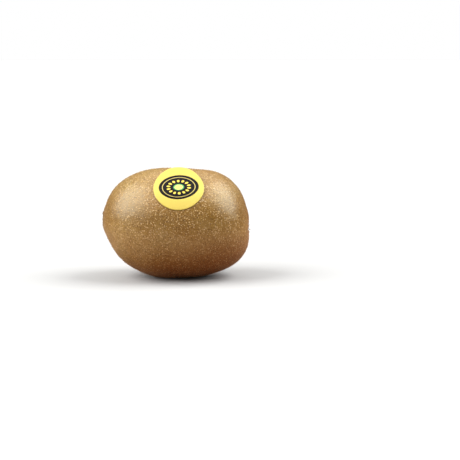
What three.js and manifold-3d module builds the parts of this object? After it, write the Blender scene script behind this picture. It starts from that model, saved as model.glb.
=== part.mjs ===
// A golden kiwi fruit lying on its side, with the round label that such fruit is sold with.
// Millimetres, +Z up. The length lies along X: the stem end is at -X and the blossom end at +X.
// The front, where the label is, faces -Y. The origin is on the surface that the fruit rests on,
// under the middle of the body.

import * as THREE from 'three';
import { mergeVertices } from 'three/addons/utils/BufferGeometryUtils.js';
import Module from 'manifold-3d';

const wasm = await Module();
wasm.setup();

// Body: an egg whose two halves meet at its widest station
const STEM_HALF = 33.2; // from the widest station to the stem end
const BLOSSOM_HALF = 37.5; // from the widest station to the blossom end
const HALF_HEIGHT = 26.3;
const HALF_DEPTH = 27.3;
const STEM_CURVE = { along: 2.23, across: 1.9 }; // powers of the outline: 2 and 2 give an ellipse
const BLOSSOM_CURVE = { along: 3.0, across: 2.36 }; // higher powers give a blunter end
const RISE = { square: 3.1, cube: -1.9, fourth: -3.6 }; // how far the middle line leaves the axis
const SWELL = 0.3; // low bulges that keep the body from being a perfect egg
const FOOT_CUT = 0.25; // height taken off the underside to give the flat spot

// Stem end: a shallow hollow with a corky plug where the stalk broke off
const STEM_HOLLOW = { depth: 1.1, reach: 4.2 };
const SCAR = { height: 0.75, radius: 2.3, edge: 8, pit: 0.5, pitReach: 1.1 };
const STEM_FOLDS = { count: 8, depth: 0.16, at: 5.2, spread: 2.2 };
const SEPALS = { count: 5, length: 3.4, width: 3.3, thickness: 0.7, root: 2.5, sunk: 0.5 };
const SEPAL_DROOP = 0.12; // slope of the skin under them
const SEPAL_CURL = 9; // radius that their tips bend up to

// Blossom end: a puckered hollow that holds the dried styles
const BLOSSOM_HOLLOW = { depth: 1.7, reach: 4.4 };
const BLOSSOM_FOLDS = { count: 16, depth: 0.3, at: 5.6, spread: 2.8 };
const STYLES = { count: 26, length: 1.2, root: 0.34, spread: 2.7, sunk: 0.7, lean: 0.8, curl: 2.2 };

// Label: a thin round sheet, its lower half on the skin and its upper edge standing off
const LABEL = { radius: 11.75, thickness: 0.6, gap: 0.3, lift: 2.4 };
const LABEL_STATION = 2.1; // from mid-length, towards the blossom end
const LABEL_ANGLE = THREE.MathUtils.degToRad(44.5); // from the top, towards the front

// Fineness of the meshes
const AROUND = 64;
const RINGS = 46;
const CROWDING = 0.6; // how much closer the rings are at the two ends than on average
const LABEL_AROUND = 40;
const LABEL_RINGS = 5;
const WELD = 1e-4;

const LENGTH = STEM_HALF + BLOSSOM_HALF;
const MIDDLE = (BLOSSOM_HALF - STEM_HALF) / 2; // the station at mid-length

const skinMaterial = new THREE.MeshStandardMaterial({ color: 0xa87d4c, roughness: 0.62, metalness: 0 });
const labelMaterial = new THREE.MeshStandardMaterial({ color: 0xfcf07f, roughness: 0.45, metalness: 0 });

// Gives the same numbers from 0 to 1 in every run.
function makeRandom(seed) {
  let state = seed;
  return () => {
    state = (state * 1664525 + 1013904223) % 4294967296;
    return state / 4294967296;
  };
}

// A low hill around a distance from the middle of an end.
function hill(distance, at, spread) {
  return Math.exp(-(((distance - at) / spread) ** 2));
}

function halfAt(station) {
  return station > 0 ? BLOSSOM_HALF : STEM_HALF;
}

function curveAt(station) {
  return station > 0 ? BLOSSOM_CURVE : STEM_CURVE;
}

// The share of the full girth that the body has at a station.
function girth(station) {
  const curve = curveAt(station);
  const reach = Math.abs(station / halfAt(station)) ** curve.along;
  return Math.max(0, 1 - reach) ** (1 / curve.across);
}

// The station on one half of the body where the girth is a given share.
function stationOf(share, half, curve) {
  return half * (1 - share ** curve.across) ** (1 / curve.along);
}

function rise(station) {
  const w = (station - MIDDLE) / (LENGTH / 2);
  return RISE.square * w ** 2 + RISE.cube * w ** 3 + RISE.fourth * w ** 4;
}

function swell(station, angle) {
  const w = (station - MIDDLE) / (LENGTH / 2);
  return SWELL * (Math.cos(2 * angle + 1.1) + Math.cos(3 * angle - 0.6 + 2 * w)) * 0.5;
}

// How far the skin of the stem end lies inside the plain egg.
function stemRelief(distance, angle) {
  const hollow = STEM_HOLLOW.depth * hill(distance, 0, STEM_HOLLOW.reach);
  const plug = SCAR.height / (1 + (distance / SCAR.radius) ** SCAR.edge);
  const pit = SCAR.pit * hill(distance, 0, SCAR.pitReach);
  const folds = Math.cos(STEM_FOLDS.count * angle + 0.8) * hill(distance, STEM_FOLDS.at, STEM_FOLDS.spread);
  return hollow - plug + pit + STEM_FOLDS.depth * folds;
}

// How far the skin of the blossom end lies inside the plain egg.
function blossomRelief(distance, angle) {
  const hollow = BLOSSOM_HOLLOW.depth * hill(distance, 0, BLOSSOM_HOLLOW.reach);
  const wave = Math.cos(BLOSSOM_FOLDS.count * angle) * (0.7 + 0.3 * Math.cos(3 * angle + 1));
  const folds = wave * hill(distance, BLOSSOM_FOLDS.at, BLOSSOM_FOLDS.spread);
  return hollow + BLOSSOM_FOLDS.depth * folds;
}

// A point of the skin, at a station along the length and an angle from the top towards the front.
function skinPoint(station, angle) {
  const share = girth(station);
  const distance = share * HALF_HEIGHT;
  const relief = station > 0 ? blossomRelief(distance, angle) : stemRelief(distance, angle);
  const extra = swell(station, angle);
  return new THREE.Vector3(
    station - MIDDLE - Math.sign(station) * relief,
    -share * (HALF_DEPTH + extra) * Math.sin(angle),
    share * (HALF_HEIGHT + extra) * Math.cos(angle) + rise(station),
  );
}

// The outward direction of the skin.
function skinNormal(station, angle) {
  const step = 0.05;
  const turn = step / HALF_HEIGHT;
  const along = skinPoint(station + step, angle).sub(skinPoint(station - step, angle));
  const across = skinPoint(station, angle + turn).sub(skinPoint(station, angle - turn));
  return across.cross(along).normalize();
}

// Moves each vertex of a geometry to the place that a function gives for it.
function reshape(geometry, place) {
  const position = geometry.getAttribute('position');
  const point = new THREE.Vector3();
  for (let i = 0; i < position.count; i += 1) {
    const moved = place(point.fromBufferAttribute(position, i));
    position.setXYZ(i, moved.x, moved.y, moved.z);
  }
  return geometry;
}

// A closed mesh as a solid that can be joined and cut.
function solidOf(geometry) {
  geometry.deleteAttribute('normal');
  geometry.deleteAttribute('uv');
  const merged = mergeVertices(geometry, WELD);
  const corners = merged.index.array;
  const triangles = [];
  for (let i = 0; i < corners.length; i += 3) {
    const [a, b, c] = corners.slice(i, i + 3);
    if (a !== b && b !== c && c !== a) {
      triangles.push(a, b, c);
    }
  }
  return new wasm.Manifold(
    new wasm.Mesh({
      numProp: 3,
      vertProperties: merged.getAttribute('position').array,
      triVerts: new Uint32Array(triangles),
    }),
  );
}

function geometryOf(solid) {
  const mesh = solid.getMesh();
  const geometry = new THREE.BufferGeometry();
  geometry.setAttribute('position', new THREE.BufferAttribute(mesh.vertProperties, 3));
  geometry.setIndex(new THREE.BufferAttribute(mesh.triVerts, 1));
  geometry.computeVertexNormals();
  return geometry;
}

// Stations from the stem end to the blossom end, closer together towards both ends.
function bodyProfile() {
  const points = [];
  for (let ring = 0; ring <= RINGS; ring += 1) {
    const share = ring / RINGS;
    const turn = Math.PI * share - (CROWDING / 2) * Math.sin(2 * Math.PI * share);
    const side = ring * 2 < RINGS ? -1 : 1;
    const reach = Math.abs(Math.cos(turn)) ** (2 / curveAt(side).along);
    const station = side * halfAt(side) * reach;
    const atEnd = ring === 0 || ring === RINGS;
    points.push(new THREE.Vector2(atEnd ? 0 : girth(station), station));
  }
  return points;
}

function makeBody() {
  const lathe = new THREE.LatheGeometry(bodyProfile(), AROUND);
  return solidOf(reshape(lathe, ({ x, y, z }) => skinPoint(y, Math.atan2(x, z))));
}

// A frame on the skin near one end: its second axis points away from the middle, its third one outwards.
function endFrame(side, distance, angle) {
  const station = side * stationOf(distance / HALF_HEIGHT, halfAt(side), curveAt(side));
  const out = new THREE.Vector3(side, 0, 0);
  const away = new THREE.Vector3(0, -Math.sin(angle), Math.cos(angle));
  const across = new THREE.Vector3().crossVectors(away, out);
  const frame = new THREE.Matrix4().makeBasis(across, away, out);
  return frame.setPosition(skinPoint(station, angle));
}

// A dried sepal: a pointed flap whose tip curls away from the skin.
function makeSepal(length, width, curl) {
  const outline = new THREE.Shape();
  outline.moveTo(-width * 0.32, 0);
  outline.quadraticCurveTo(-width * 0.72, length * 0.55, 0, length);
  outline.quadraticCurveTo(width * 0.72, length * 0.55, width * 0.32, 0);
  const flap = new THREE.ExtrudeGeometry(outline, {
    depth: SEPALS.thickness,
    bevelEnabled: false,
    curveSegments: 5,
  });
  return reshape(flap, ({ x, y, z }) => {
    const turn = y / curl;
    return new THREE.Vector3(x, (curl - z) * Math.sin(turn), curl - (curl - z) * Math.cos(turn));
  });
}

function makeSepals() {
  const random = makeRandom(11);
  return Array.from({ length: SEPALS.count }, (_, i) => {
    const angle = (i + 0.35 * random()) * ((2 * Math.PI) / SEPALS.count);
    const length = SEPALS.length * (0.8 + 0.35 * random());
    const width = SEPALS.width * (0.85 + 0.3 * random());
    const curl = SEPAL_CURL * (0.9 + 0.6 * random());
    const flap = makeSepal(length, width, curl);
    flap.translate(0, 0, -SEPALS.sunk);
    flap.rotateX(-SEPAL_DROOP);
    return solidOf(flap.applyMatrix4(endFrame(-1, SEPALS.root, angle)));
  });
}

// A dried style: a thin bristle that bends over towards its tip.
function makeStyle(length, lean, curl) {
  const bristle = new THREE.ConeGeometry(STYLES.root, length + STYLES.sunk, 5, 3);
  bristle.rotateX(Math.PI / 2);
  bristle.translate(0, 0, (length + STYLES.sunk) / 2 - STYLES.sunk);
  return reshape(bristle, ({ x, y, z }) => {
    const bent = Math.max(0, z);
    const aside = lean * z + bent ** 2 / (2 * curl);
    return new THREE.Vector3(x, y + aside, z);
  });
}

// The styles stand on a spiral over the floor of the hollow and lean outwards.
function makeStyles() {
  const random = makeRandom(5);
  const goldenAngle = Math.PI * (3 - Math.sqrt(5));
  return Array.from({ length: STYLES.count }, (_, i) => {
    const distance = STYLES.spread * Math.sqrt((i + 0.5) / STYLES.count);
    const angle = i * goldenAngle + 0.3 * random();
    const length = STYLES.length * (0.75 + 0.35 * random());
    const lean = STYLES.lean * (distance / STYLES.spread) * (0.5 + 0.5 * random());
    const bristle = makeStyle(length, lean, STYLES.curl * (1 + random()));
    bristle.rotateZ(0.9 * (random() - 0.5));
    return solidOf(bristle.applyMatrix4(endFrame(1, distance, angle)));
  });
}

// The flat spot is a plane cut just above the lowest point.
function cutFoot(solid) {
  const lowest = solid.boundingBox().min[2];
  const block = new THREE.BoxGeometry(LENGTH, LENGTH, LENGTH);
  block.translate(0, 0, lowest + FOOT_CUT - LENGTH / 2);
  return solid.subtract(solidOf(block));
}

function makeFruit() {
  const grown = [...makeSepals(), ...makeStyles()].reduce((fruit, piece) => fruit.add(piece), makeBody());
  const fruit = new THREE.Mesh(geometryOf(cutFoot(grown)), skinMaterial);
  fruit.name = 'fruit';
  return fruit;
}

// A point of the label: along and up are measured on the sheet, height from its underside.
function labelPoint(along, up, height) {
  const station = MIDDLE + LABEL_STATION + along;
  const angle = LABEL_ANGLE - up / HALF_DEPTH;
  const lift = LABEL.lift * (Math.max(0, up) / LABEL.radius) ** 2;
  const offset = LABEL.gap + lift + height;
  return skinPoint(station, angle).addScaledVector(skinNormal(station, angle), offset);
}

function makeLabel() {
  const under = [];
  const over = [];
  for (let ring = 0; ring <= LABEL_RINGS; ring += 1) {
    const radius = (LABEL.radius * ring) / LABEL_RINGS;
    under.push(new THREE.Vector2(radius, 0));
    over.unshift(new THREE.Vector2(radius, LABEL.thickness));
  }
  const disc = new THREE.LatheGeometry([...under, ...over], LABEL_AROUND);
  reshape(disc, ({ x, y, z }) => labelPoint(z, x, y));
  const label = new THREE.Mesh(geometryOf(solidOf(disc)), labelMaterial);
  label.name = 'label';
  return label;
}

const kiwi = new THREE.Group();
kiwi.add(makeFruit(), makeLabel());

const box = new THREE.Box3().setFromObject(kiwi, true);
kiwi.position.setZ(-box.min.z);

export default kiwi;
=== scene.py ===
# %% [markdown]
# # A golden kiwi fruit
# This lesson dresses one whole golden kiwi fruit, lying on its side with a round fruit label on it. The
# plain solids come ready made, at their real size, in a fixed frame. Here each of them gets a finer mesh
# of the same shape, and a surface that looks like skin, cork, dried sepal or printed film.
# Sizes are written in millimetres and turned into metres as the last thing, because a fruit is easier to
# think about in millimetres.

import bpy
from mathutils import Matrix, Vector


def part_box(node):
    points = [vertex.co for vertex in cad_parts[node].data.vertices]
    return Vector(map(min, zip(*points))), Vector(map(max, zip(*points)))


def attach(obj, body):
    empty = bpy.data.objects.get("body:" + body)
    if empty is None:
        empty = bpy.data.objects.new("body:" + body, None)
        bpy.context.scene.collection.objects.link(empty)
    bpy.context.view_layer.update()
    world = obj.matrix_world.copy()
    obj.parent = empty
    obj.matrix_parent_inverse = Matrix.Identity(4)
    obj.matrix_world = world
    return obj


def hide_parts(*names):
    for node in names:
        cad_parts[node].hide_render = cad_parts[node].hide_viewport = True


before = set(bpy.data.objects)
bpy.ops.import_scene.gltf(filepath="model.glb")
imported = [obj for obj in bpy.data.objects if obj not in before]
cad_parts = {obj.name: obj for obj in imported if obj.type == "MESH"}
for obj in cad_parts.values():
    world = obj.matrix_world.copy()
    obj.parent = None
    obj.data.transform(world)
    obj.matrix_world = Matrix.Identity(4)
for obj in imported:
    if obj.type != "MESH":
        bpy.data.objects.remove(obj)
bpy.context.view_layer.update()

# %% The libraries and the unit
import math
import random

import bmesh
import bpy
from mathutils import Matrix, Vector, noise

MM = 0.001
TURN = 2 * math.pi
print("one millimetre is", MM, "metres")

# %% [markdown]
# ## The camera
# A long lens from about 60 cm shows the fruit as it was photographed, from 8 degrees above the table.
# The fruit lies to the left of the middle of the picture, so the camera aims beside it, and no lens
# shift is needed.

# %% Place the camera
LENS, SENSOR = 100, 36
CAMERA_DISTANCE = 614 * MM
CAMERA_ELEVATION = math.radians(8)
FRUIT_FROM_AIM = (-25.9 * MM, 3.4 * MM)  # how far right of and above the aim the fruit's middle lies
AXIS_HEIGHT = 26.0 * MM


def make_camera():
    data = bpy.data.cameras.new("camera")
    data.lens = LENS
    data.sensor_width = SENSOR
    camera = bpy.data.objects.new("camera", data)
    bpy.context.scene.collection.objects.link(camera)
    forward = Vector((0, math.cos(CAMERA_ELEVATION), -math.sin(CAMERA_ELEVATION)))
    right = Vector((1, 0, 0))
    up = right.cross(forward)
    aim = Vector((0, 0, AXIS_HEIGHT)) - right * FRUIT_FROM_AIM[0] - up * FRUIT_FROM_AIM[1]
    camera.location = aim - forward * CAMERA_DISTANCE
    camera.rotation_euler = forward.to_track_quat("-Z", "Y").to_euler()
    bpy.context.scene.camera = camera
    return camera


print("the camera stands at", tuple(make_camera().location))

# %% [markdown]
# ## The light
# The skin carries two broad, soft highlights, one on each shoulder, and is palest on top. Two wide suns
# to the left and the right give the highlights, and a third, high up behind, lights the top. A weak one
# from the front keeps the side that faces the camera from going dull. Suns light the whole floor alike,
# so it stays pale right out to the horizon. The sky lights the fruit only a little, but is white where
# the camera looks straight at it.

# %% Hang the lights and set the sky
SUNS = {
    "sun_left": {"towards": (-0.77, -0.16, 0.61), "strength": 4.3, "width": 60},
    "sun_right": {"towards": (0.71, 0.04, 0.68), "strength": 3.6, "width": 54},
    "sun_above": {"towards": (0.05, 0.28, 0.95), "strength": 1.3, "width": 70},
    "fill_front": {"towards": (-0.25, -1.0, 0.08), "strength": 0.6, "width": 80},
}
SKY_LIGHT, SKY_SEEN = 0.1, 1.0


def make_sun(name, towards, strength, width):
    data = bpy.data.lights.new(name, "SUN")
    data.energy = strength
    data.angle = math.radians(width)
    sun = bpy.data.objects.new(name, data)
    sun.rotation_euler = Vector(towards).to_track_quat("Z", "Y").to_euler()
    bpy.context.scene.collection.objects.link(sun)


def make_sky():
    world = bpy.data.worlds.new("sky")
    world.use_nodes = True
    tree = world.node_tree
    back = tree.nodes["Background"]
    path = tree.nodes.new("ShaderNodeLightPath")
    level = tree.nodes.new("ShaderNodeMapRange")
    level.inputs["To Min"].default_value = SKY_LIGHT
    level.inputs["To Max"].default_value = SKY_SEEN
    tree.links.new(path.outputs["Is Camera Ray"], level.inputs["Value"])
    tree.links.new(level.outputs["Result"], back.inputs["Strength"])
    back.inputs["Color"].default_value = (1, 1, 1, 1)
    bpy.context.scene.world = world


for sun_name, facts in SUNS.items():
    make_sun(sun_name, **facts)
make_sky()
bpy.context.scene.view_settings.view_transform = "Standard"
print("lights:", ", ".join(SUNS))

# %% [markdown]
# ## Helpers for materials
# Every finish here is a tree of nodes. One short helper adds a node, sets its options and fills its
# sockets, by a number or by a link from another node, so that a tree reads from top to bottom. Colours
# are written as 0 to 255, as a colour picker shows them, and turned into the linear values that the
# renderer counts with.

# %% Define the material helpers
def paint(red, green, blue):
    """A colour picker's numbers as a linear colour."""
    shares = [value / 255 for value in (red, green, blue)]
    return (*[s / 12.92 if s <= 0.04045 else ((s + 0.055) / 1.055) ** 2.4 for s in shares], 1)


def add(tree, kind, sockets=None, **options):
    """Adds a node; a socket gets a value, or a link where the value is another node's output."""
    node = tree.nodes.new("ShaderNode" + kind)
    for name, value in options.items():
        setattr(node, name, value)
    for name, value in (sockets or {}).items():
        if isinstance(value, bpy.types.NodeSocket):
            tree.links.new(value, node.inputs[name])
        else:
            node.inputs[name].default_value = value
    return node


def calc(tree, operation, first, second=0.0):
    """One step of arithmetic; the result is a socket."""
    return add(tree, "Math", {0: first, 1: second}, operation=operation).outputs[0]


def vector_calc(tree, operation, sockets):
    """One step of arithmetic on vectors; the result is a vector."""
    return add(tree, "VectorMath", sockets, operation=operation).outputs["Vector"]


def ramp(tree, value, low, high, bottom=0.0, top=1.0):
    """Fades smoothly from bottom to top while value goes from low to high."""
    sockets = {"Value": value, "From Min": low, "From Max": high, "To Min": bottom, "To Max": top}
    return add(tree, "MapRange", sockets, interpolation_type="SMOOTHSTEP").outputs["Result"]


def blend(tree, share, first, second, how="MIX"):
    """Mixes two colours by a share."""
    node = add(tree, "Mix", data_type="RGBA", blend_type=how)
    for name, value in {"Factor_Float": share, "A_Color": first, "B_Color": second}.items():
        socket = next(s for s in node.inputs if s.identifier == name)
        if isinstance(value, bpy.types.NodeSocket):
            tree.links.new(value, socket)
        else:
            socket.default_value = value
    return next(s for s in node.outputs if s.identifier == "Result_Color")


def new_material(name, **sockets):
    """A material with a Principled BSDF whose uniform values are set on its own sockets."""
    material = bpy.data.materials.new(name)
    material.use_nodes = True
    tree = material.node_tree
    shader = tree.nodes["Principled BSDF"]
    for socket, value in sockets.items():
        shader.inputs[socket.replace("_", " ")].default_value = value
    return material, tree, shader


def object_place(tree, scale=(1, 1, 1)):
    """The place on the object, stretched by scale, for patterns that stay put in space."""
    place = add(tree, "TexCoord").outputs["Object"]
    return add(tree, "Mapping", {"Vector": place, "Scale": scale}).outputs["Vector"]


def bump(tree, height, distance, strength=1.0):
    sockets = {"Height": height, "Distance": distance, "Strength": strength}
    return add(tree, "Bump", sockets).outputs["Normal"]


print("a mid brown is", [round(v, 3) for v in paint(150, 115, 70)])

# %% [markdown]
# ## Effects that several finishes share
# Skin, cork and dried sepals are all mottled and all have a fine grain, at other sizes. Each effect is a
# node group with named inputs, made once and placed where it is needed. A group only puts out values,
# which the material then turns into colour, roughness and bump.

# %% Build the shared node groups
def new_group(name, inputs, outputs):
    """An empty group with its sockets; returns the group and its input and output nodes."""
    group = bpy.data.node_groups.new(name, "ShaderNodeTree")
    for socket, kind, default in inputs:
        made = group.interface.new_socket(socket, in_out="INPUT", socket_type="NodeSocket" + kind)
        if default is not None:
            made.default_value = default
    for socket in outputs:
        group.interface.new_socket(socket, in_out="OUTPUT", socket_type="NodeSocketFloat")
    return group, group.nodes.new("NodeGroupInput"), group.nodes.new("NodeGroupOutput")


def make_mottle():
    """Soft patches: noise whose contrast is raised, with finer noise over it."""
    inputs = [("Vector", "Vector", None), ("Per Metre", "Float", 60.0), ("Sharpness", "Float", 0.5)]
    group, given, result = new_group("mottle", inputs, ["Patches"])
    sockets = {"Vector": given.outputs["Vector"], "Scale": given.outputs["Per Metre"], "Detail": 5.0}
    cloud = add(group, "TexNoise", sockets).outputs["Fac"]
    reach = calc(group, "MULTIPLY_ADD", given.outputs["Sharpness"], -0.3)
    reach.node.inputs[2].default_value = 0.34
    low = calc(group, "SUBTRACT", 0.5, reach)
    high = calc(group, "ADD", 0.5, reach)
    group.links.new(ramp(group, cloud, low, high), result.inputs["Patches"])
    return group


SPECK_SHAKE, SPECK_CORE, SMALLEST_SPECK = 0.9, 0.45, 0.45


def make_specks():
    """Dots of uneven size and outline, each in its own cell."""
    inputs = [
        ("Vector", "Vector", None),
        ("Per Metre", "Float", 1000.0),
        ("Size", "Float", 0.3),
        ("Share", "Float", 0.8),
    ]
    group, given, result = new_group("specks", inputs, ["Dots"])
    place, per_metre = given.outputs["Vector"], given.outputs["Per Metre"]
    finer = calc(group, "MULTIPLY", per_metre, 2.0)
    shake = add(group, "TexNoise", {"Vector": place, "Scale": finer, "Detail": 1.0}).outputs["Color"]
    centred = vector_calc(group, "SUBTRACT", {0: shake, 1: (0.5, 0.5, 0.5)})
    reach = calc(group, "DIVIDE", SPECK_SHAKE, per_metre)
    shift = vector_calc(group, "SCALE", {0: centred, "Scale": reach})
    moved = vector_calc(group, "ADD", {0: place, 1: shift})
    sockets = {"Vector": moved, "Scale": per_metre, "Randomness": 1.0}
    cells = add(group, "TexVoronoi", sockets, feature="F1", voronoi_dimensions="3D")
    chance = add(group, "SeparateColor", {"Color": cells.outputs["Color"]})
    uneven = ramp(group, chance.outputs["Red"], 0, 1, SMALLEST_SPECK, 1)
    widest = calc(group, "MULTIPLY", given.outputs["Size"], uneven)
    core = calc(group, "MULTIPLY", widest, SPECK_CORE)
    dot = ramp(group, cells.outputs["Distance"], core, widest, 1, 0)
    shown = calc(group, "LESS_THAN", chance.outputs["Green"], given.outputs["Share"])
    group.links.new(calc(group, "MULTIPLY", dot, shown), result.inputs["Dots"])
    return group


def make_grain():
    """A close, uneven grain, as a height."""
    inputs = [("Vector", "Vector", None), ("Per Metre", "Float", 1500.0), ("Roughness", "Float", 0.6)]
    group, given, result = new_group("grain", inputs, ["Height"])
    sockets = {
        "Vector": given.outputs["Vector"],
        "Scale": given.outputs["Per Metre"],
        "Detail": 3.0,
        "Roughness": given.outputs["Roughness"],
    }
    cloud = add(group, "TexNoise", sockets).outputs["Fac"]
    group.links.new(cloud, result.inputs["Height"])
    return group


GROUPS = {"mottle": make_mottle(), "specks": make_specks(), "grain": make_grain()}


def use(tree, name, sockets):
    """Places a shared group in a material and gives back its one output."""
    node = add(tree, "Group", node_tree=GROUPS[name])
    for socket, value in sockets.items():
        if isinstance(value, bpy.types.NodeSocket):
            tree.links.new(value, node.inputs[socket])
        else:
            node.inputs[socket].default_value = value
    return node.outputs[0]


print("groups:", ", ".join(GROUPS))

# %% [markdown]
# ## The shape of the fruit
# The body is an egg with a stem end and a blunter blossom end. Its outline is one formula, the one that
# the solid was drawn with, and a second formula bends the middle line a little. A station is a distance
# along the fruit from its widest place, and an angle goes from the top towards the front. With a formula
# for every point of the skin, anything else can be set on it exactly: label, hairs, sepals and styles.

# %% Give the fruit its sizes, in millimetres
STEM_HALF, BLOSSOM_HALF = 33.2, 37.5
HALF_HEIGHT, HALF_DEPTH = 26.3, 27.3
STEM_POWERS, BLOSSOM_POWERS = (2.23, 1.9), (3.0, 2.36)
RISE = (3.1, -1.9, -3.6)
SWELL = 0.3
MIDDLE = (BLOSSOM_HALF - STEM_HALF) / 2
HALF_LENGTH = (BLOSSOM_HALF + STEM_HALF) / 2


def hill(distance, at, spread):
    """A smooth hill, 1 high, round one value of a distance or a place."""
    return math.exp(-(((distance - at) / spread) ** 2))


def half_of(side):
    """The length and the two powers of one half of the body."""
    return (BLOSSOM_HALF, *BLOSSOM_POWERS) if side > 0 else (STEM_HALF, *STEM_POWERS)


def girth(station):
    """The share of the full girth at a station."""
    half, along, across = half_of(station)
    return max(0.0, 1 - abs(station / half) ** along) ** (1 / across)


def station_of(share, side):
    """The station on one side where the girth is a given share."""
    half, along, across = half_of(side)
    return side * half * (1 - share**across) ** (1 / along)


def rise(station):
    """How far the middle line lies above the axis: a curve of the fourth degree."""
    w = (station - MIDDLE) / HALF_LENGTH
    return RISE[0] * w**2 + RISE[1] * w**3 + RISE[2] * w**4


def swell(station, angle):
    """Low bulges that keep the body from being a perfect egg."""
    w = (station - MIDDLE) / HALF_LENGTH
    return SWELL * (math.cos(2 * angle + 1.1) + math.cos(3 * angle - 0.6 + 2 * w)) * 0.5


print("the fruit is", STEM_HALF + BLOSSOM_HALF, "mm long before its ends are hollowed")

# %% [markdown]
# Both ends are a little hollow. Round the stalk's scar the skin is drawn into a few soft folds. Round
# the dried styles it is puckered much more finely, like the neck of a drawstring bag, so a fast wave
# whose strength changes with the angle is laid over the slower one.

# %% Hollow and fold the two ends
def stem_relief(distance, angle):
    """How far the stem end's skin lies inside the plain egg; its rim stands out a little."""
    hollow = 1.1 * hill(distance, 0, 4.2) - 0.45 * hill(distance, 4.5, 4.0)
    folds = 0.16 * math.cos(8 * angle + 0.8) * hill(distance, 5.2, 2.2)
    creases = 0.09 * math.cos(19 * angle + 2 * math.sin(2 * angle)) * hill(distance, 5.0, 2.4)
    return hollow + folds + creases


def blossom_relief(distance, angle):
    """How far the blossom end's skin lies inside the plain egg."""
    hollow = 1.7 * hill(distance, 0, 4.4)
    wave = math.cos(16 * angle) * (0.7 + 0.3 * math.cos(3 * angle + 1))
    folds = 0.3 * wave * hill(distance, 5.6, 2.8)
    creases = 0.16 * math.cos(41 * angle + 3 * math.sin(3 * angle)) * hill(distance, 4.6, 2.2)
    uneven = 0.6 + 0.4 * math.cos(2 * angle - 1)
    pleats = math.cos(23 * angle + 2 * math.sin(2 * angle + 1))
    shoulder = 0.13 * uneven * pleats * hill(distance, 9.5, 4.0)
    return hollow + folds + creases + shoulder


def skin_point(station, angle):
    """A point of the skin in millimetres, with the middle of the axis at zero."""
    share = girth(station)
    distance = share * HALF_HEIGHT
    relief = blossom_relief(distance, angle) if station > 0 else stem_relief(distance, angle)
    extra = swell(station, angle)
    return Vector((
        station - MIDDLE - math.copysign(relief, station),
        -share * (HALF_DEPTH + extra) * math.sin(angle),
        share * (HALF_HEIGHT + extra) * math.cos(angle) + rise(station),
    ))


def skin_normal(station, angle):
    """The outward direction of the skin."""
    step = 0.05
    turn = step / HALF_HEIGHT
    along = skin_point(station + step, angle) - skin_point(station - step, angle)
    across = skin_point(station, angle + turn) - skin_point(station, angle - turn)
    return across.cross(along).normalized()


STATIONS_TRIED = [-10 + 0.25 * i for i in range(81)]
TOP_OF_EGG = max(skin_point(station, 0).z for station in STATIONS_TRIED)
AXIS = Vector((0, 0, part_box("fruit")[1].z / MM - TOP_OF_EGG))
print("the axis lies", round(AXIS.z, 2), "mm above the floor")

# %% [markdown]
# ## The body's mesh
# A line of points from end to end is spun round the long axis, which gives a closed form with its poles
# on the axis. Each point is then moved to the skin's formula. Noise adds what no formula has: shallow
# dents a few millimetres wide and a fine unevenness, a few hundredths of a millimetre deep. In four
# places the egg is up to six tenths of a millimetre flatter: each has a depth, a place along and above
# the axis, and how far it reaches. The lowest points are pressed flat onto the floor, as the flat spot
# of the solid is. The hairs are later scattered face by face, so points and faces are first put in one
# fixed order, and each run gives the same fruit.

# %% Define the mesh helpers
def new_object(name, bm, *materials, smooth=True):
    """Turns a bmesh into an object of the scene, in metres, with its place in its mesh."""
    mesh = bpy.data.meshes.new(name)
    bm.to_mesh(mesh)
    bm.free()
    mesh.polygons.foreach_set("use_smooth", [smooth] * len(mesh.polygons))
    for material in materials:
        mesh.materials.append(material)
    made = bpy.data.objects.new(name, mesh)
    bpy.context.scene.collection.objects.link(made)
    print(name, "has", len(mesh.polygons), "faces")
    return made


def in_place(point):
    """A point round the fruit's axis, in millimetres, as a place in the frame, in metres."""
    return (point + AXIS) * MM


MERGE_DISTANCE = 1e-5


def put_in_order(bm):
    """Sorts points and faces by place, because a merge leaves them in another order on each run."""
    points = sorted(bm.verts, key=lambda vert: vert.co[:])
    rank = {vert: i for i, vert in enumerate(points)}
    faces = sorted(bm.faces, key=lambda face: sorted(rank[vert] for vert in face.verts))
    order = {face: i for i, face in enumerate(faces)}
    bm.verts.sort(key=rank.get)
    bm.faces.sort(key=order.get)


def spin_closed(points, axis, steps):
    """Spins a line of points once round an axis; its two ends lie on the axis and close the form."""
    bm = bmesh.new()
    line = [bm.verts.new(point) for point in points]
    edges = [bm.edges.new(pair) for pair in zip(line, line[1:])]
    around = {"axis": axis, "cent": (0, 0, 0), "angle": TURN, "steps": steps}
    bmesh.ops.spin(bm, geom=line + edges, use_merge=True, **around)
    bmesh.ops.remove_doubles(bm, verts=bm.verts, dist=MERGE_DISTANCE)
    put_in_order(bm)
    return bm


print("points closer than", MERGE_DISTANCE, "are merged after a spin")

# %% Spin the body and press it onto the floor
AROUND, RINGS = 320, 210
CROWDING = 0.6


def profile_stations():
    """Stations from end to end, closer together towards both ends."""
    stations = []
    for ring in range(RINGS + 1):
        share = ring / RINGS
        turn = math.pi * share - CROWDING / 2 * math.sin(TURN * share)
        side = -1 if 2 * ring < RINGS else 1
        half, along, _ = half_of(side)
        stations.append(side * half * abs(math.cos(turn)) ** (2 / along))
    return stations


# Each flatter place: depth, place along and above the axis, reach along and up.
FLATTER = (
    (0.55, (10.5, 26.3), (5.5, 12.0)),
    (0.60, (-32.0, -9.0), (6.0, 6.0)),
    (0.20, (-31.0, 10.0), (5.0, 5.0)),
    (0.35, (34.0, 8.0), (4.0, 6.0)),
)


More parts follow.
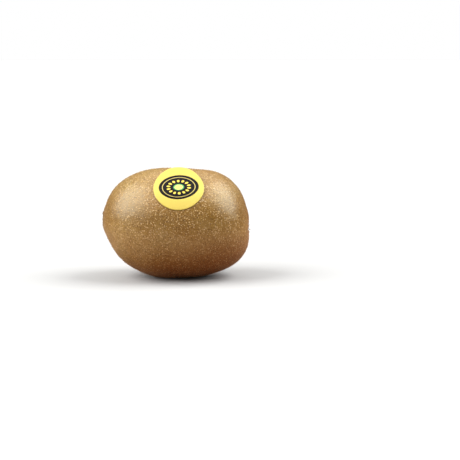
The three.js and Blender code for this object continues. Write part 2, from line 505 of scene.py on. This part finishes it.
def unevenness(point, blossom_distance):
    """Dents and roughness of the skin in millimetres; the blossom end's shoulder is rougher."""
    dents = 0.10 * noise.noise(point / 6.5) + 0.05 * noise.noise(point / 2.6)
    for depth, (x, z), (long, high) in FLATTER:
        dents -= depth * hill(point.x, x, long) * hill(point.z, z, high)
    fine = 0.022 * noise.noise(point / 0.9)
    knobs = 0.22 * max(0.0, noise.noise(point / 1.7)) * hill(blossom_distance, 8.5, 4.5)
    return dents + fine + knobs


def shape_body(bm):
    """Moves each point to the skin's formula, roughens it and presses the lowest ones onto the floor.

    The seat keeps each point's station, angle and distance from the axis for the masks.
    """
    seats = bm.verts.layers.float_vector.new("seat")
    for vert in bm.verts:
        station, y, z = vert.co
        angle = math.atan2(-y, z)
        vert[seats] = (station, angle, girth(station) * HALF_HEIGHT)
        vert.co = skin_point(station, angle)
    bmesh.ops.recalc_face_normals(bm, faces=bm.faces)
    bm.normal_update()
    floor = -AXIS.z
    for vert in bm.verts:
        station, _, distance = vert[seats]
        blossom = distance if station > 0 else 2 * HALF_HEIGHT
        moved = vert.co + vert.normal * unevenness(vert.co, blossom)
        moved.z = max(moved.z, floor)
        vert.co = in_place(moved)


profile = [(station, 0, girth(station)) for station in profile_stations()]
body = spin_closed(profile, (1, 0, 0), AROUND)
shape_body(body)
print("the body has", len(body.verts), "points")

# %% [markdown]
# ## The skin
# Golden kiwi skin is thin and brown, between olive and russet, and nearly smooth. A darker olive band
# along its upper side is painted shade below the highlights, a paler band round its belly is a painted
# reflection, and its browner underside is painted shade over some of the skin's own russet; their
# borders are uneven. Pale breathing pores cover it, each a third of a millimetre wide and less than a
# millimetre from the next. They could be modelled, but there are some twenty thousand, so they are dots
# in the material, with a slight bump, and darker pits and finer dust lie between them. The skin has a
# satin gloss with a golden tint. Both ends are duller, the puckered one is redder, the other greyer, and
# shade is painted into the hollows and creases, from masks that the mesh carries.

# %% Store where the creases are
def crease_of(station, angle, distance):
    """From 0 on open skin to 1 at the bottom of the hollows and creases, where shade is painted."""
    relief = blossom_relief(distance, angle) if station > 0 else stem_relief(distance, angle) * 0.8
    return min(1.0, max(0.0, relief / 1.3))


def store_masks(bm):
    """Puts three masks on the mesh and drops the seats, which nothing needs any more."""
    seats = bm.verts.layers.float_vector["seat"]
    crease_shade = bm.verts.layers.float.new("crease_shade")
    blossom = bm.verts.layers.float.new("blossom")
    stem = bm.verts.layers.float.new("stem")
    for vert in bm.verts:
        station, angle, distance = vert[seats]
        vert[crease_shade] = crease_of(station, angle, distance)
        vert[blossom] = hill(distance, 0, 8.0) if station > 0 else 0.0
        vert[stem] = hill(distance, 0, 8.0) if station < 0 else 0.0
    bm.verts.layers.float_vector.remove(seats)


store_masks(body)
print("masks:", ", ".join(body.verts.layers.float.keys()))

# %% Choose the skin's paints, bands and dots
SKIN_PAINTS = {
    "olive": paint(158, 131, 62),
    "russet": paint(163, 120, 60),
    "net": paint(118, 82, 36),
    # painted shade in a band below the top highlights
    "shade_band": paint(124, 88, 12),
    # a painted reflection in a pale band round the belly
    "reflection_band": paint(178, 146, 104),
    # painted shade on the underside, over some of the skin's own russet
    "underside": paint(134, 62, 18),
    "pits": paint(84, 52, 18),
    "dust": paint(206, 168, 104),
    "pores": paint(232, 200, 152),
    # tints the pores and dust inside the band of painted shade
    "shade_band_tint": paint(250, 240, 205),
    "blossom": paint(160, 88, 42),
    "stem": paint(122, 102, 78),
    # painted shade in the hollows and creases
    "crease_shade": paint(48, 26, 14),
}
# Heights are in metres above the floor, as the Object coordinates are.
# a band of painted shade below the top highlights
OLIVE_SHADE_BAND = {"rises": (0.026, 0.036), "falls": (0.037, 0.048), "share": 0.75}
# a pale band of painted reflection round the belly
PALE_REFLECTION_BAND = {"rises": (0.014, 0.021), "falls": (0.025, 0.034), "share": 0.38}
# painted shade on the underside, over some of the skin's own russet, climbing towards the blossom end
UNDERSIDE_SHADE_FALLS, UNDERSIDE_SHADE_SHARE = (0.006, 0.026), 0.85
BORDER_WAVE, UNDERSIDE_SHADE_SLANT = 0.008, 0.24
# Each kind of dot: how strongly it colours the skin, and what the group of specks is given.
DOTS = {
    "pits": (0.74, {"Per Metre": 1300.0, "Size": 0.55, "Share": 0.9}),
    "dust": (0.42, {"Per Metre": 2100.0, "Size": 0.55, "Share": 0.8}),
    "pores": (0.8, {"Per Metre": 1350.0, "Size": 0.5, "Share": 0.95}),
}
# Pits and dust are shifted, or they would lie where the pores are.
DOTS_SHIFT = (0.013, 0.007, 0.021)
# How strongly each end takes its own colour.
ENDS = {"blossom": 0.65, "stem": 0.6}
SKIN_BUMP = 0.00009
print("the skin is mixed from", len(SKIN_PAINTS), "paints")


# %% Mix the skin
def attribute(tree, name):
    return add(tree, "Attribute", attribute_name=name).outputs["Fac"]


def height_band(tree, height, rises, falls, share):
    """A share that fades in over one range of heights and out over another."""
    return calc(tree, "MULTIPLY", ramp(tree, height, *rises), ramp(tree, height, *falls, share, 0))


def skin_ground(tree, place):
    """The skin without its dots, and the share of the band of painted shade, which tints the dots later.

    The underside's painted shade, over some of the skin's own russet, climbs towards the blossom end.
    """
    patches = use(tree, "mottle", {"Vector": place, "Per Metre": 50.0, "Sharpness": 0.2})
    finer = use(tree, "mottle", {"Vector": place, "Per Metre": 650.0, "Sharpness": 0.3})
    colour = blend(tree, patches, SKIN_PAINTS["olive"], SKIN_PAINTS["russet"])
    colour = blend(tree, calc(tree, "MULTIPLY", finer, 0.5), colour, SKIN_PAINTS["net"])
    spot = add(tree, "SeparateXYZ", {"Vector": add(tree, "TexCoord").outputs["Object"]})
    height = calc(tree, "ADD", spot.outputs["Z"], calc(tree, "MULTIPLY", patches, BORDER_WAVE))
    # olive is the share of the band of painted shade below the highlights
    olive = height_band(tree, height, **OLIVE_SHADE_BAND)
    colour = blend(tree, olive, colour, SKIN_PAINTS["shade_band"])
    # a pale band of painted reflection round the belly
    colour = blend(tree, height_band(tree, height, **PALE_REFLECTION_BAND), colour, SKIN_PAINTS["reflection_band"])
    # painted shade on the underside, over some of the skin's own russet
    climb = calc(tree, "MULTIPLY", spot.outputs["X"], UNDERSIDE_SHADE_SLANT)
    slanting = calc(tree, "SUBTRACT", height, climb)
    underside = ramp(tree, slanting, *UNDERSIDE_SHADE_FALLS, UNDERSIDE_SHADE_SHARE, 0)
    return blend(tree, underside, colour, SKIN_PAINTS["underside"]), olive


def add_dots(tree, place, colour):
    """Lays pits, dust and pores over a colour, and gives the pores' mask back for the bump."""
    shifted = add(tree, "Mapping", {"Vector": place, "Location": DOTS_SHIFT}).outputs["Vector"]
    masks = {}
    for name, (strength, sockets) in DOTS.items():
        where = place if name == "pores" else shifted
        masks[name] = use(tree, "specks", {"Vector": where, **sockets})
        colour = blend(tree, calc(tree, "MULTIPLY", masks[name], strength), colour, SKIN_PAINTS[name])
    return colour, masks["pores"]


def tint_ends_and_shade_creases(tree, colour):
    """Reddens the blossom end, greys the stem end and paints shade into the hollows and creases."""
    for end, strength in ENDS.items():
        share = calc(tree, "MULTIPLY", attribute(tree, end), strength)
        colour = blend(tree, share, colour, SKIN_PAINTS[end])
    # painted shade in the hollows and creases
    crease_shade = ramp(tree, attribute(tree, "crease_shade"), 0.1, 0.95, 0, 0.92)
    return blend(tree, crease_shade, colour, SKIN_PAINTS["crease_shade"])


def make_skin():
    gloss = {"Specular_IOR_Level": 0.9, "Specular_Tint": (1.0, 0.96, 0.74, 1)}
    fuzz = {"Sheen_Weight": 0.06, "Sheen_Roughness": 0.4, "Sheen_Tint": (1.0, 0.92, 0.8, 1)}
    material, tree, shader = new_material("kiwi_skin", **gloss, **fuzz)
    place = object_place(tree)
    ground, olive = skin_ground(tree, place)
    dotted, pores = add_dots(tree, place, ground)
    # the band of painted shade also tints the dots
    shade_banded = blend(tree, olive, dotted, SKIN_PAINTS["shade_band_tint"], "MULTIPLY")
    tree.links.new(tint_ends_and_shade_creases(tree, shade_banded), shader.inputs["Base Color"])
    grain = use(tree, "grain", {"Vector": place, "Per Metre": 1600.0, "Roughness": 0.6})
    satin = ramp(tree, grain, 0.3, 0.7, 0.30, 0.40)
    ends = calc(tree, "ADD", attribute(tree, "blossom"), attribute(tree, "stem"))
    dull = calc(tree, "ADD", satin, calc(tree, "MULTIPLY", ends, 0.2))
    tree.links.new(dull, shader.inputs["Roughness"])
    height = calc(tree, "ADD", calc(tree, "MULTIPLY", pores, 0.7), calc(tree, "MULTIPLY", grain, 0.9))
    tree.links.new(bump(tree, height, SKIN_BUMP), shader.inputs["Normal"])
    return material


SKIN = make_skin()
skin = new_object("fruit_skin", body, SKIN)

# %% [markdown]
# ## The stalk's scar
# The fruit hung from a stalk that broke off when it was picked. What is left is a corky plug about
# 5 mm wide with a ragged rim and a ring of sap vessels in it. A short profile is spun into a low plug,
# and noise with a few spokes roughens it.

# %% Make the plug
NEAR_POLE = 0.01  # the middle of an end has no direction away from itself, so a point beside it is used


def end_frame(side, distance, angle):
    """A frame on the skin near one end: y points away from the middle of the end, z outwards."""
    away = Vector((0, -math.sin(angle), math.cos(angle)))
    out = Vector((side, 0, 0))
    frame_of_end = Matrix((away.cross(out), away, out)).transposed().to_4x4()
    seat = skin_point(station_of(distance / HALF_HEIGHT, side), angle)
    return Matrix.Translation(seat + AXIS) @ frame_of_end


PLUG_PROFILE = (
    (0, 0.4),
    (0.5, 0.3),
    (0.9, 0.55),
    (1.25, 0.68),
    (1.5, 0.45),
    (1.85, 0.76),
    (2.2, 0.66),
    (2.45, -0.2),
    (0, -0.4),
)
PLUG_AROUND = 72


def make_plug():
    points = [(radius, 0, height) for radius, height in PLUG_PROFILE]
    bm = spin_closed(points, (0, 0, 1), PLUG_AROUND)
    bmesh.ops.subdivide_edges(bm, edges=bm.edges, cuts=2, use_grid_fill=True, smooth=0.3)
    bmesh.ops.recalc_face_normals(bm, faces=bm.faces)
    for vert in bm.verts:
        radius = math.hypot(vert.co.x, vert.co.y)
        angle = math.atan2(vert.co.y, vert.co.x)
        on_ring = Vector((math.cos(angle), math.sin(angle), radius / 2))
        vessels = 0.14 * math.cos(11 * angle + 1) * hill(radius, 1.2, 0.3)
        ragged = 0.14 * noise.noise(vert.co / 0.4) + 0.22 * noise.noise(on_ring * 2.2) - 0.06
        vert.co.z += (vessels + ragged) * min(1.0, radius)
        vert.co.xy *= 1 + 0.05 * noise.noise(Vector((math.cos(angle), math.sin(angle), 3)) * 1.5)
    bm.transform(Matrix.Scale(MM, 4) @ end_frame(-1, NEAR_POLE, 0.0))
    return bm


print("the plug is", 2 * max(radius for radius, _ in PLUG_PROFILE), "mm wide")

# %% [markdown]
# ## Cork and dried sepal
# Scar, sepals and styles are dead plant tissue: dull, fibrous and uneven in colour. One function makes
# their materials from three colours and a fibre direction, because they differ only in those.

# %% Make the dry materials
def make_dry(name, pale, dark, deepest, stretch):
    """A dull fibrous finish; the pattern is stretched where stretch is below 1."""
    material, tree, shader = new_material(name, Roughness=0.8, Sheen_Weight=0.15, Sheen_Roughness=0.6)
    place = object_place(tree, stretch)
    patches = use(tree, "mottle", {"Vector": place, "Per Metre": 600.0, "Sharpness": 0.7})
    grain = use(tree, "grain", {"Vector": place, "Per Metre": 3200.0, "Roughness": 0.7})
    colour = blend(tree, patches, pale, dark)
    colour = blend(tree, ramp(tree, grain, 0.5, 0.72), colour, deepest)
    tree.links.new(colour, shader.inputs["Base Color"])
    tree.links.new(bump(tree, grain, 0.0001), shader.inputs["Normal"])
    return material


CORK = make_dry("corky_scar", paint(146, 110, 72), paint(96, 66, 42), paint(46, 29, 18), (1, 1, 1))
SEPAL = make_dry("dried_sepal", paint(124, 84, 48), paint(76, 47, 27), paint(33, 20, 12), (0.5, 1, 1))
STYLE = make_dry("dried_style", paint(176, 112, 62), paint(112, 62, 34), paint(36, 20, 14), (1, 1, 1))
scar = new_object("stalk_scar", make_plug(), CORK)

# %% [markdown]
# ## The sepals
# Five dried sepals lie round the scar, brown, brittle and crumpled. Each is a small grid that is pulled
# into a pointed leaf and laid close over the skin by the skin's own formula. Noise tears its edge and
# crumples it, and then it gets its thickness.

# %% Make the sepals
SEPAL_COUNT, SEPAL_ROOT, SEPAL_THICKNESS = 5, 1.9, 0.09


def over_end(side, across, away, height):
    """A point over one end of the fruit; across and away are counted from the middle of the end."""
    distance = max(NEAR_POLE, math.hypot(across, away))
    point = skin_point(station_of(distance / HALF_HEIGHT, side), math.atan2(across, away))
    return point + Vector((side * height, 0, 0))


def thicken(bm, thickness):
    """Gives a sheet its thickness: its faces are drawn out along the normals."""
    bmesh.ops.recalc_face_normals(bm, faces=bm.faces)
    made = bmesh.ops.extrude_face_region(bm, geom=bm.faces[:])["geom"]
    bm.normal_update()
    for vert in [item for item in made if isinstance(item, bmesh.types.BMVert)]:
        vert.co += vert.normal * thickness
    bmesh.ops.recalc_face_normals(bm, faces=bm.faces)


def make_sepal(rng, turn):
    """One sepal in millimetres, from its root beside the scar."""
    length, width = rng.uniform(1.2, 3.3), rng.uniform(1.8, 3.6)
    raised, phase, bend = rng.uniform(-0.2, 0.05), rng.uniform(0, 10), rng.uniform(-1.2, 1.2)
    bm = bmesh.new()
    bmesh.ops.create_grid(bm, x_segments=12, y_segments=16, size=1)
    for vert in bm.verts:
        across, along = vert.co.x, (vert.co.y + 1) / 2
        ragged = 1 + 0.8 * noise.noise(Vector((across, along * 5, phase)))
        x = across * width / 2 * (1.1 + 0.5 * along) * (1 - along**1.6) * ragged + bend * along**2
        y = along * length * (1 - 0.15 * across**2) + SEPAL_ROOT
        crumple = 0.15 * noise.noise(Vector((x / 0.6, y / 1.1, phase))) * (0.5 + along)
        height = 0.03 + phase * 0.01 + raised * along**2 + 0.1 * across**2 * along + max(-0.08, crumple)
        spot = Matrix.Rotation(turn, 2) @ Vector((x, y))
        vert.co = over_end(-1, spot.x, spot.y, height)
    bmesh.ops.remove_doubles(bm, verts=bm.verts, dist=0.01)
    thicken(bm, SEPAL_THICKNESS)
    return bm


def append(target, part, matrix):
    """Adds a part's geometry to a bmesh, moved by a matrix."""
    part.transform(matrix)
    mesh = bpy.data.meshes.new("part")
    part.to_mesh(mesh)
    part.free()
    target.from_mesh(mesh)
    bpy.data.meshes.remove(mesh)


def make_sepals():
    rng = random.Random(11)
    bm = bmesh.new()
    for i in range(SEPAL_COUNT):
        turn = (i + rng.uniform(-0.25, 0.25)) * TURN / SEPAL_COUNT
        append(bm, make_sepal(rng, turn), Matrix.Scale(MM, 4) @ Matrix.Translation(AXIS))
    return bm


sepals = new_object("sepals", make_sepals(), SEPAL)

# %% [markdown]
# ## The dried styles
# Three or four dozen styles stood in the middle of the flower. On the fruit they are a tuft of brown,
# curled threads in the puckered hollow. Each is a small ring that is extruded step by step while it
# turns and gets thinner. The outer ones lie over onto the folds, and finer threads, left over from the
# stamens, fill the gaps between them.

# %% Make the styles
GOLDEN_ANGLE = math.pi * (3 - math.sqrt(5))
TUFTS = (
    {"count": 40, "spread": 2.9, "length": (1.6, 2.7), "thickness": (0.14, 0.24), "lean": 1.15},
    {"count": 70, "spread": 4.1, "length": (1.1, 2.1), "thickness": (0.05, 0.09), "lean": 1.3},
)
STYLE_STEPS, STYLE_ROOT = 9, 0.3
STYLE_TAPER, STYLE_TIP = 0.93, 0.45


def make_style(rng, length, thickness):
    """One curled thread in millimetres, from a root just under the skin."""
    bm = bmesh.new()
    root = bmesh.ops.create_circle(bm, cap_ends=True, segments=6, radius=thickness)["verts"]
    bmesh.ops.translate(bm, verts=root, vec=(0, 0, -STYLE_ROOT))
    ring = next(iter(bm.faces))
    step = (length + STYLE_ROOT) / STYLE_STEPS
    bend = rng.uniform(0.05, 0.32)
    twist = rng.uniform(-0.5, 0.5)
    heading = Matrix.Identity(3)
    for i in range(STYLE_STEPS):
        made = bmesh.ops.extrude_discrete_faces(bm, faces=[ring])
        ring = made["faces"][0]
        heading = heading @ Matrix.Rotation(-bend, 3, "X") @ Matrix.Rotation(twist * 0.5, 3, "Z")
        bmesh.ops.translate(bm, verts=ring.verts, vec=heading @ Vector((0, 0, step)))
        middle = ring.calc_center_median()
        about = Matrix.Translation(-middle)
        thinner = Matrix.Scale(STYLE_TAPER if i < STYLE_STEPS - 1 else STYLE_TIP, 3)
        bmesh.ops.transform(bm, matrix=thinner.to_4x4(), space=about, verts=ring.verts)
        bmesh.ops.rotate(bm, verts=ring.verts, cent=middle, matrix=Matrix.Rotation(-bend, 3, "X"))
    return bm


def make_styles():
    rng = random.Random(5)
    bm = bmesh.new()
    for tuft in TUFTS:
        for i in range(tuft["count"]):
            share = math.sqrt((i + 0.5) / tuft["count"])
            angle = i * GOLDEN_ANGLE + rng.uniform(-0.3, 0.3)
            lean = Matrix.Rotation(-tuft["lean"] * share * rng.uniform(0.6, 1.0), 4, "X")
            spin = Matrix.Rotation(rng.uniform(-1.0, 1.0), 4, "Z")
            seat = end_frame(1, tuft["spread"] * share + NEAR_POLE, angle) @ spin @ lean
            thread = make_style(rng, rng.uniform(*tuft["length"]), rng.uniform(*tuft["thickness"]))
            append(bm, thread, Matrix.Scale(MM, 4) @ seat)
    bmesh.ops.recalc_face_normals(bm, faces=bm.faces)
    return bm


styles = new_object("styles", make_styles(), STYLE)

# %% [markdown]
# ## The down
# A golden kiwi looks bare, but against the light its edge glows: short, sparse down covers it. Particle
# hair would be lost when the model is exported, so every hair is a thin spike of its own. A random part
# of the skin's faces is kept and shrunk to a point of a hair's width, and poking each of them draws it
# out into a spike. A copy of the small face, turned round, closes the root.

# %% Make the down
HAIRS_PER_MM2 = 1.5
HAIR_WIDTH, HAIR_LENGTH, HAIR_ROOT = 0.07, 0.42, 0.03


def scatter_faces(bm, rng):
    """Keeps a random part of the faces, evenly spread by area, each on its own."""
    chance = HAIRS_PER_MM2 / MM**2
    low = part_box("fruit")[0].z + 0.8 * MM
    spare = []
    for face in bm.faces:
        too_low = face.calc_center_median().z < low
        if too_low or rng.random() > chance * face.calc_area():
            spare.append(face)
    bmesh.ops.delete(bm, geom=spare, context="FACES")
    bmesh.ops.split_edges(bm, edges=bm.edges, verts=bm.verts, use_verts=True)


def shrink_faces(bm, rng):
    """Shrinks each face to a hair's root, moves it a little aside and sinks it into the skin."""
    for face in bm.faces:
        middle = face.calc_center_median()
        normal = face.normal.copy()
        across = normal.orthogonal().normalized()
        jitter = Matrix.Rotation(rng.uniform(0, TURN), 3, normal) @ across * rng.uniform(0, 0.6) * MM
        scale = HAIR_WIDTH * MM / math.sqrt(face.calc_area())
        for vert in face.verts:
            vert.co = middle + (vert.co - middle) * scale + jitter - normal * HAIR_ROOT * MM


def draw_out(bm, rng):
    """Pokes each face into a spike that leans towards the blossom end."""
    roots = bmesh.ops.duplicate(bm, geom=bm.verts[:] + bm.edges[:] + bm.faces[:])["geom"]
    roots = {item for item in roots if isinstance(item, bmesh.types.BMFace)}
    bmesh.ops.reverse_faces(bm, faces=list(roots))
    stems = [face for face in bm.faces if face not in roots]
    normals = [face.normal.copy() for face in stems]
    tips = bmesh.ops.poke(bm, faces=stems)["verts"]
    for tip, normal in zip(tips, normals):
        lean = Vector((rng.uniform(-0.2, 0.9), rng.uniform(-0.5, 0.5), rng.uniform(-0.5, 0.5)))
        length = HAIR_LENGTH * MM * rng.uniform(0.5, 1.3)
        tip.co += (normal + (lean - normal * lean.dot(normal)) * 0.8).normalized() * length
    bmesh.ops.remove_doubles(bm, verts=bm.verts, dist=1e-8)


def make_down():
    rng = random.Random(23)
    bm = bmesh.new()
    bm.from_mesh(skin.data)
    for mask in list(bm.verts.layers.float.values()):
        bm.verts.layers.float.remove(mask)
    scatter_faces(bm, rng)
    shrink_faces(bm, rng)
    draw_out(bm, rng)
    return bm


def make_down_material():
    material, tree, shader = new_material("down", Roughness=0.55, Sheen_Weight=0.6, Sheen_Roughness=0.3)
    patches = use(tree, "mottle", {"Vector": object_place(tree), "Per Metre": 900.0, "Sharpness": 0.3})
    colour = blend(tree, patches, paint(206, 166, 114), paint(170, 122, 74))
    tree.links.new(colour, shader.inputs["Base Color"])
    return material


down = new_object("down", make_down(), make_down_material(), smooth=False)

# %% [markdown]
# ## The label
# The label is a round printed film, 23.5 mm across. Its lower half is stuck down and follows the skin,
# but the film is too stiff to bend twice, so its upper edge stands off and shows over the fruit's back.
# A thin disc is spun flat and closed, and each of its points is then moved to where the sheet lies over
# the skin. The flat disc's own coordinates become the UV map, in millimetres from its middle, so that
# the print is undistorted.

# %% Make the label's mesh
LABEL_RADIUS, LABEL_THICKNESS, LABEL_GAP, LABEL_LIFT = 11.75, 0.14, 0.10, 2.85
LABEL_STATION, LABEL_ANGLE = 2.1, math.radians(44.5)
LABEL_AROUND, LABEL_RINGS = 128, 26
LABEL_CURL, LABEL_RIPPLE, LABEL_WAVES = 0.10, 0.10, 3
UV_PER_MM = 1 / 40


def label_point(along, up, height):
    """Where a point of the flat label lies once it is on the fruit."""
    station = MIDDLE + LABEL_STATION + along
    angle = LABEL_ANGLE - up / HALF_DEPTH
    reach = math.hypot(along, up) / LABEL_RADIUS
    ripple = LABEL_RIPPLE * math.cos(LABEL_WAVES * math.atan2(up, along) + 0.8)
    lift = LABEL_LIFT * (max(0.0, up) / LABEL_RADIUS) ** 2 + (LABEL_CURL + ripple) * reach**4
    return skin_point(station, angle) + skin_normal(station, angle) * (LABEL_GAP + lift + height)


def make_label():
    under = [(LABEL_RADIUS * i / LABEL_RINGS, 0, 0) for i in range(LABEL_RINGS + 1)]
    over = [(radius, 0, LABEL_THICKNESS) for radius, _, _ in reversed(under)]
    bm = spin_closed(under + over, (0, 0, 1), LABEL_AROUND)
    bmesh.ops.recalc_face_normals(bm, faces=bm.faces)
    flat = bm.loops.layers.uv.new("print")
    for face in bm.faces:
        face.material_index = 0 if face.calc_center_median().z > LABEL_THICKNESS * 0.9 else 1
        for loop in face.loops:
            loop[flat].uv = (loop.vert.co.x * UV_PER_MM + 0.5, loop.vert.co.y * UV_PER_MM + 0.5)
    for vert in bm.verts:
        vert.co = in_place(label_point(*vert.co))
    return bm


print("the label's upper edge stands off by", LABEL_GAP + LABEL_LIFT, "mm")

# %% [markdown]
# ## The label's print
# The print is drawn with arithmetic on the UV map. The distance from an oval gives rings and fields, and
# counting the angle in equal shares repeats a seed fourteen times, as in a sliced fruit. It is a plain
# ornament in the colours of such labels, with no words. A soft edge keeps the ink from looking cut.

# %% Print the label
BADGE_WIDTH, BADGE_HEIGHT = 9.3, 6.9
BADGE_UP = 0.7
BADGE_TILT = math.radians(5)
BADGE_RING = (0.80, 0.835)
CORE_RIM, CORE = 0.27, 0.21
INK_EDGE = 0.012
SEEDS, SEED_RING, SEED_WIDTH, SEED_LENGTH = 14, 0.52, 0.30, 0.10
PRINT_PAINTS = {
    "yellow": paint(226, 205, 103),
    "deeper yellow": paint(222, 199, 93),
    "ink": paint(14, 14, 17),
    "ring": paint(226, 206, 120),
    "seeds": paint(240, 216, 92),
    "core rim": paint(96, 176, 108),
    "core": paint(240, 222, 124),
}


def badge_place(tree):
    """How far out in the oval badge a point lies, as a share, and its angle there."""
    flat = add(tree, "UVMap", uv_map="print").outputs["UV"]
    centred = {"Vector": flat, "Location": (-0.5, -0.5 - BADGE_UP * UV_PER_MM, 0)}
    middle = add(tree, "Mapping", centred).outputs["Vector"]
    turned = add(tree, "Mapping", {"Vector": middle, "Rotation": (0, 0, -BADGE_TILT)}).outputs["Vector"]
    scale = (1 / (UV_PER_MM * BADGE_WIDTH), 1 / (UV_PER_MM * BADGE_HEIGHT), 1)
    oval = add(tree, "Mapping", {"Vector": turned, "Scale": scale}).outputs["Vector"]
    reach = add(tree, "VectorMath", {0: oval}, operation="LENGTH").outputs["Value"]
    parts = add(tree, "SeparateXYZ", {"Vector": oval})
    return reach, calc(tree, "ARCTAN2", parts.outputs["Y"], parts.outputs["X"])


def inside(tree, value, edge):
    """A mask with a soft edge: 1 where the value is below the edge."""
    return ramp(tree, value, edge - INK_EDGE, edge + INK_EDGE, 1, 0)


def ring_mask(tree, value, low, high):
    return calc(tree, "SUBTRACT", inside(tree, value, high), inside(tree, value, low))


def seed_mask(tree, reach, angle):
    """Small pointed ovals that stand round the core."""
    turns = calc(tree, "FRACT", calc(tree, "MULTIPLY", angle, SEEDS / TURN))
    aside = calc(tree, "MULTIPLY", calc(tree, "SUBTRACT", turns, 0.5), 1 / SEED_WIDTH)
    out = calc(tree, "MULTIPLY", calc(tree, "SUBTRACT", reach, SEED_RING), 1 / SEED_LENGTH)
    squares = [calc(tree, "POWER", calc(tree, "ABSOLUTE", value), 2.0) for value in (aside, out)]
    return ramp(tree, calc(tree, "ADD", *squares), 0.7, 1.2, 1, 0)


def make_print():
    gloss = {"Specular_IOR_Level": 0.18, "Coat_Weight": 0.03, "Coat_Roughness": 0.3}
    material, tree, shader = new_material("label_print", **gloss)
    reach, angle = badge_place(tree)
    grain = use(tree, "grain", {"Vector": object_place(tree), "Per Metre": 2600.0, "Roughness": 0.5})
    cloud = use(tree, "mottle", {"Vector": object_place(tree), "Per Metre": 150.0, "Sharpness": 0.1})
    faint = calc(tree, "MULTIPLY", cloud, 0.35)
    colour = blend(tree, faint, PRINT_PAINTS["yellow"], PRINT_PAINTS["deeper yellow"])
    layers = {
        "ink": inside(tree, reach, 1.0),
        "ring": ring_mask(tree, reach, *BADGE_RING),
        "seeds": seed_mask(tree, reach, angle),
        "core rim": inside(tree, reach, CORE_RIM),
        "core": inside(tree, reach, CORE),
    }
    for name, mask in layers.items():
        colour = blend(tree, mask, colour, PRINT_PAINTS[name])
    tree.links.new(colour, shader.inputs["Base Color"])
    tree.links.new(ramp(tree, grain, 0.3, 0.7, 0.36, 0.46), shader.inputs["Roughness"])
    tree.links.new(bump(tree, grain, 0.00002), shader.inputs["Normal"])
    return material


def make_backing():
    material, tree, shader = new_material("label_backing", Roughness=0.6)
    grain = use(tree, "grain", {"Vector": object_place(tree), "Per Metre": 4000.0, "Roughness": 0.6})
    colour = blend(tree, ramp(tree, grain, 0.35, 0.65), paint(240, 234, 206), paint(226, 216, 180))
    tree.links.new(colour, shader.inputs["Base Color"])
    return material


label = new_object("label_sheet", make_label(), make_print(), make_backing())

# %% [markdown]
# ## The floor
# A plain pale floor catches the soft shadow. It isn't part of the fruit. A white floor would throw so
# much light back that the fruit's underside went grey. The floor therefore only looks pale: rays from
# the camera meet the pale colour, and the light that bounces off it meets a darker, warmer one, so the
# underside keeps its brown.

# %% Lay the floor
FLOOR_HALF = 12.0
FLOOR_SEEN, FLOOR_LIT = (190, 190, 189), (130, 102, 76)


def make_floor():
    bm = bmesh.new()
    bmesh.ops.create_grid(bm, x_segments=1, y_segments=1, size=FLOOR_HALF)
    material, tree, shader = new_material("floor", Roughness=0.9, Specular_IOR_Level=0.1)
    cloud = use(tree, "mottle", {"Vector": object_place(tree), "Per Metre": 3.0, "Sharpness": 0.0})
    seen = blend(tree, cloud, paint(*FLOOR_SEEN), paint(*[value + 2 for value in FLOOR_SEEN]))
    straight = add(tree, "LightPath").outputs["Is Camera Ray"]
    tree.links.new(blend(tree, straight, paint(*FLOOR_LIT), seen), shader.inputs["Base Color"])
    return new_object("floor", bm, material, smooth=False)


make_floor()

# %% [markdown]
# ## Tie the pieces to the model
# Every piece rides on the one body, and the plain solid that it stands for is hidden.

# %% Ride on the body and hide the plain solids
GROWN_PIECES = (skin, scar, sepals, styles, down)
for piece in GROWN_PIECES:
    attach(piece, "root")
    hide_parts("fruit")
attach(label, "root")
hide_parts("label")
print(len(GROWN_PIECES), "pieces stand for the fruit, and one for its label")
